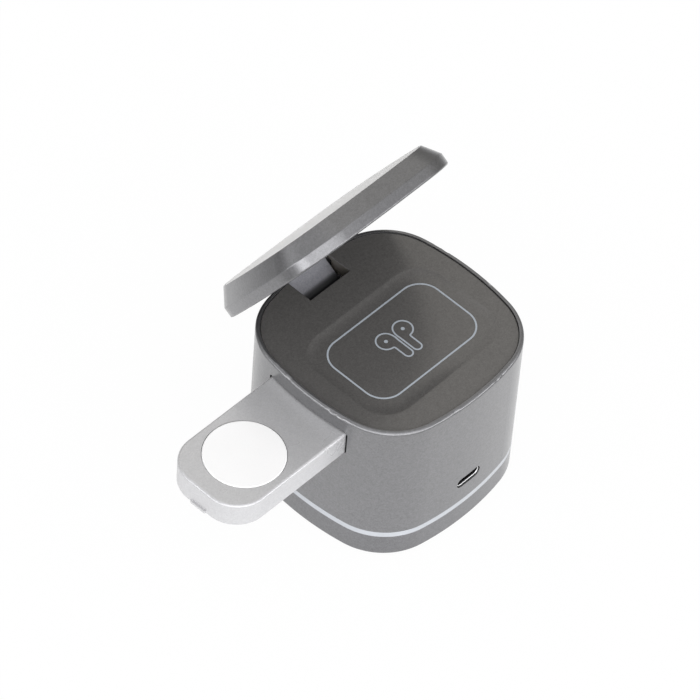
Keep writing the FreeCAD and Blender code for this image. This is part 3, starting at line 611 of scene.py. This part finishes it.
# %% Deck underside
bottom = DECK_TOP - DECK_THICK
walled = (np.abs(deck_edge[:, 0]) < SLOT_HALF + HAIR) & (deck_edge[:, 1] < SLOT_REAR + HAIR)
walled &= deck_edge[:, 1] > SLOT_WALL_FRONT - HAIR / 2
low = np.where(walled, bottom - SLOT_WALL_DROP, bottom)
behind = np.where(walled[:, None], deck_edge - outward * SLOT_WALL, deck_edge)
broad = deck_edge - outward * (SLOT_WALL + DECK_FLAT)
under = [raised(deck_edge, low), raised(behind, low), raised(behind, bottom)]
for share in np.linspace(0, 1, 9)[:-1]:
    under.append(raised(broad + share * (dish(-DISH_ROLL) - broad), bottom))
fallen = top[-len(way_in) - len(floor_shares):] - (0, 0, DECK_THICK)
deck = skin("deck_plate", np.concatenate([top[::-1], under, fallen]), "base", deck_paint_and_shade)
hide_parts("top_deck")

# %% [markdown]
# ## Print on the deck
# A thin pale line runs round the dish's floor, with a sign of two earbuds inside it. Ink could be
# painted by the deck's material, but a line of constant width is simpler as a band of its own: its
# middle line is a closed curve, moved out and in by half the width, and lifted by the ink's thickness.

# %% Ink
INK_LIFT = 0.03
LINE_MIDDLE, LINE_HALF, LINE_CORNER, LINE_WIDTH = np.array([-0.1, 4.6]), (20.53, 12.46), 6.6, 0.5
dish_floor = DECK_TOP - DISH_DEPTH

ink = Finish("deck_ink", Roughness=0.5)
ink.feed(Base_Color=ink.blend(ink.noise(0.4), (0.33, 0.37, 0.41, 1), (0.47, 0.51, 0.55, 1)))
ink.bump(ink.noise(0.15), 0.004)


def ink_band(name, line, width):
    """A closed flat band: the line moved out and in along its normals, at the floor and at ink height."""
    side = mitres(line) * width / 2
    low, high = dish_floor - INK_LIFT, dish_floor + INK_LIFT
    loops = [raised(line + side, low), raised(line + side, high),
             raised(line - side, high), raised(line - side, low)]
    return skin(name, np.array(loops), "base", ink, ring=True)


once_round = np.linspace(0, 1, 240, endpoint=False)
ink_band("dish_line", LINE_MIDDLE + oblong(*LINE_HALF, LINE_CORNER, once_round), LINE_WIDTH)

# %% [markdown]
# The sign is a pair of earbuds drawn from a few sizes: a round head and a straight stem beside its middle.
# It could be traced, but a distance function is shorter: the lesser of the distances to a circle and to a
# round-ended bar, with a soft minimum that rounds the inner corners. From a point inside both, every
# direction leaves the shape once, and halving finds where. A small dot stands for the part that sounds.

# %% Earbud sign
BUD_HEAD, BUD_HEAD_RADIUS = np.array([3.35, 1.75]), 2.85
BUD_STEM_X, BUD_STEM_ENDS, BUD_STEM_RADIUS = 1.75, (2.6, 8.7), 1.3
BUD_MIDDLE, BUD_SOFT = np.array([2.2, 2.6]), 5.0
BUD_DOT, SIGN_WIDTH = 0.55, 0.46
BUD_REACH, BUD_POINTS, DOT_POINTS, HALVINGS = 12.0, 220, 48, 40


def off_bud(points):
    """Distance from the bud's edge, negative inside: soft minimum of a circle's and a bar's distances."""
    head = np.linalg.norm(points - BUD_HEAD, axis=1) - BUD_HEAD_RADIUS
    on_stem = np.stack([np.full(len(points), BUD_STEM_X), np.clip(points[:, 1], *BUD_STEM_ENDS)], -1)
    stem = np.linalg.norm(points - on_stem, axis=1) - BUD_STEM_RADIUS
    return -np.log(np.exp(-BUD_SOFT * head) + np.exp(-BUD_SOFT * stem)) / BUD_SOFT


def even(line, count):
    """The closed line again, with its points spaced evenly by length."""
    closed = np.concatenate([line, line[:1]])
    length = np.concatenate([[0], np.cumsum(np.linalg.norm(np.diff(closed, axis=0), axis=1))])
    at = np.linspace(0, length[-1], count, endpoint=False)
    return np.stack([np.interp(at, length, closed[:, k]) for k in (0, 1)], -1)


angles = np.linspace(0, 2 * pi, 6000, endpoint=False)
turned = np.stack([np.cos(angles), np.sin(angles)], -1)
near, beyond = np.zeros(len(angles)), np.full(len(angles), BUD_REACH)
for step in range(HALVINGS):
    reach = (near + beyond) / 2
    inside = off_bud(BUD_MIDDLE + reach[:, None] * turned) < 0
    near, beyond = np.where(inside, reach, near), np.where(inside, beyond, reach)
bud = even(BUD_MIDDLE + near[:, None] * turned, BUD_POINTS)
dot = even(BUD_HEAD + BUD_DOT / 2 * turned, DOT_POINTS)
for side, mirror in (("a", (1, 1)), ("b", (-1, 1))):
    ink_band("earbud_sign_" + side, (bud * mirror)[::mirror[0]], SIGN_WIDTH)
    ink_band("earbud_dot_" + side, (dot * mirror)[::mirror[0]], BUD_DOT)

# %% [markdown]
# ## The power socket
# The socket is a flat tube of bright steel that ends just inside the wall. Its lip catches the light, and
# the inside looks black. A tube of even sheet would show too thin a lip, so the tube is a profile carried
# round its outline: the sheet swells to a rounded lip at the mouth. The dark inside is painted shade in the
# steel's finish, found from the distance to the tube's middle line, and the tongue gets its gilt contacts.

# %% Socket tube
SOCKET_HALF, SOCKET_MIDDLE, SOCKET_FRONT, SOCKET_LENGTH = (4.47, 1.63), 18.43, 32.6, 8.1
SHEET, LIP, LIP_LENGTH = 0.3, 0.5, 1.0


def tube_loop(inset, depth):
    """The tube's round-ended outline, moved inwards by inset, at a depth behind the mouth."""
    flat = oblong(SOCKET_HALF[0] - inset, SOCKET_HALF[1] - inset, SOCKET_HALF[1] - inset, once_round)
    return np.stack([flat[:, 0], np.full(len(flat), SOCKET_FRONT - depth), SOCKET_MIDDLE + flat[:, 1]], -1)


bend = np.linspace(0, pi, 9)
lip_insets = LIP / 2 * (1 - np.cos(bend))
lip_depths = LIP / 2 * (1 - np.sin(bend))
profile = [(0, SOCKET_LENGTH), *zip(lip_insets, lip_depths),
           (LIP, LIP_LENGTH / 2), (SHEET, LIP_LENGTH), (SHEET, SOCKET_LENGTH)]
socket_steel = metal("socket_steel", (0.80, 0.80, 0.80), 0.25, (1, 0.1, 1), 0.3)
x, y, z = socket_steel.axes(socket_steel.place())
past_line = abs(x) - (SOCKET_HALF[0] - SOCKET_HALF[1]) * MM
over = socket_steel.node("Math", {"operation": "MAXIMUM"}, {0: past_line, 1: 0.0})
off_line = (over * over + (z - SOCKET_MIDDLE * MM) ** 2.0) ** 0.5
# painted shade: the steel inside the tube is painted black, for the shade deep inside it
inside = (off_line < (SOCKET_HALF[1] - SHEET / 2) * MM) * (y < (SOCKET_FRONT - LIP / 2) * MM)
dark_bare_and_shade(socket_steel, inside, 1.0)
tube_loops = np.array([tube_loop(inset, depth) for inset, depth in profile])[::-1]
tube = skin("socket_tube", tube_loops, "base", socket_steel, ring=True)
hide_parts("socket_shell")

# %% Socket tongue
CONTACT_PITCH, CONTACT_HALF, CONTACT_START, TONGUE_HALF = 0.5, 3.0, 26.5, 0.35
GILT = (0.83, 0.60, 0.26, 1)

socket_resin = moulded("socket_resin", (0.018, 0.018, 0.02), 0.4)
x, y, z = socket_resin.axes(socket_resin.place())
stripe = socket_resin.node("Math", {"operation": "SINE"}, {0: x * (2 * pi / (CONTACT_PITCH * MM))}) > 0.0
flat_face = abs(z - SOCKET_MIDDLE * MM) > (TONGUE_HALF - HAIR) * MM
gilt = stripe * flat_face * (abs(x) < CONTACT_HALF * MM) * (y > CONTACT_START * MM)
socket_resin.feed(Base_Color=socket_resin.blend(gilt, socket_resin.fed("Base Color"), GILT), Metallic=gilt)
socket_resin.wear("socket_tongue")
print("contacts every", CONTACT_PITCH, "mm on the tongue")

# %% [markdown]
# ## Floor, light and background
# The object stands on a white sheet in a light tent. The sheet is white to the camera, still takes the soft
# shadow under the body, and grows dim with distance where it is mirrored, because a real sheet ends. The
# tent has three soft glows. A low band along its front half draws the bright lines on rim, drawer and lid,
# because a rounded edge always has a spot that mirrors it. A window higher up in front lights the tops,
# and a faint glow comes from overhead. They could be lamps, but smooth glows on the sky have no ends that
# show in the paint, and with the light shared out, the dark deck stays readable from behind.

# %% Floor
FLOOR_HALF, FADE_NEAR, FADE_FAR, FADE_MOST = 0.4, 0.06, 0.34, 0.65
CAMERA_WHITE, MIRROR_WHITE = 0.96, 0.45
WHITE, BLACK = (1, 1, 1, 1), (0, 0, 0, 1)

floor_mesh = bpy.data.meshes.new("floor")
corners = FLOOR_HALF * np.array([[-1, -1, 0], [1, -1, 0], [1, 1, 0], [-1, 1, 0]])
floor_mesh.from_pydata(corners, [], [[0, 1, 2, 3]])
floor = bpy.data.objects.new("floor", floor_mesh)
bpy.context.collection.objects.link(floor)
floor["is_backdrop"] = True

paper = Finish("white_sheet", Roughness=0.9, Specular_IOR_Level=0.0)
looked_at = (paper.node("LightPath", output="Is Camera Ray")
             + paper.node("LightPath", output="Is Transmission Ray"))
mirrored = paper.node("LightPath", output="Is Glossy Ray")
x, y, z = paper.axes(paper.place())
dim = mirrored * ((x * x + y * y) ** 0.5).ease(FADE_NEAR, FADE_FAR) * FADE_MOST
paper.feed(Base_Color=paper.blend(dim, (0.95, 0.95, 0.95, 1), BLACK))
glow = paper.node("Emission", {}, {"Color": paper.blend(dim, WHITE, BLACK), "Strength": 1.0})
lit = Wire(paper, paper.shader.outputs["BSDF"])
shown = looked_at * CAMERA_WHITE + mirrored * MIRROR_WHITE
sheet = paper.node("MixShader", {}, {"Fac": shown, 1: lit, 2: glow})
paper.plug(paper.tree.nodes["Material Output"].inputs["Surface"], sheet)
paper.wear(floor)
print("floor:", 2 * FLOOR_HALF, "m wide")

# %% Light
ROOM, SKY, SIDE_GLOW = 0.25, 0.44, 0.24
BAND, WINDOW, OVERHEAD, FRONT = 3.4, 1.5, 0.3, radians(50)

world = bpy.data.worlds.new("light_tent")
world.use_nodes = True
bpy.context.scene.world = world
tent = Shop(world.node_tree)
x, y, z = tent.axes(tent.node("TexCoord", output="Generated"))
facing = (x * cos(FRONT) + y * sin(FRONT)) / (1.0001 - z * z) ** 0.5
band = facing.ease(-0.4, 0.3) * z.ease(0.03, 0.14) * (1 - z.ease(0.28, 0.42))
window = facing.ease(0.45, 0.9) * z.ease(0.34, 0.52) * (1 - z.ease(0.80, 0.92))
sides = abs(y).ease(0.05, 0.45) * z.ease(0.2, 0.5)
strength = (ROOM + (SKY - ROOM) * z.ease(0.0, 0.4) + SIDE_GLOW * sides
            + BAND * band + WINDOW * window + OVERHEAD * z.ease(0.80, 0.95))
rearward = (x + y) * -cos(pi / 4)
tint = tent.blend(rearward.ease(0.0, 0.7), (1.0, 1.0, 1.02, 1), (0.97, 0.95, 0.91, 1))
light = tent.node("VectorMath", {"operation": "SCALE"}, {0: tint, "Scale": strength})
backdrop = tent.blend(tent.node("LightPath", output="Is Camera Ray"), light, WHITE)
tent.plug(world.node_tree.nodes["Background"].inputs["Color"], backdrop)

bpy.context.scene.view_settings.view_transform = "Standard"
print("light: band", BAND, "window", WINDOW, "overhead", OVERHEAD)

# %% [markdown]
# ## Sizes
# The dressed model's box is printed in millimetres. The dressed model has to stay inside the
# solids' box.

# %% Finish
low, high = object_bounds()
print("visual box in mm:", [round((h - l) / MM, 1) for l, h in zip(low, high)])
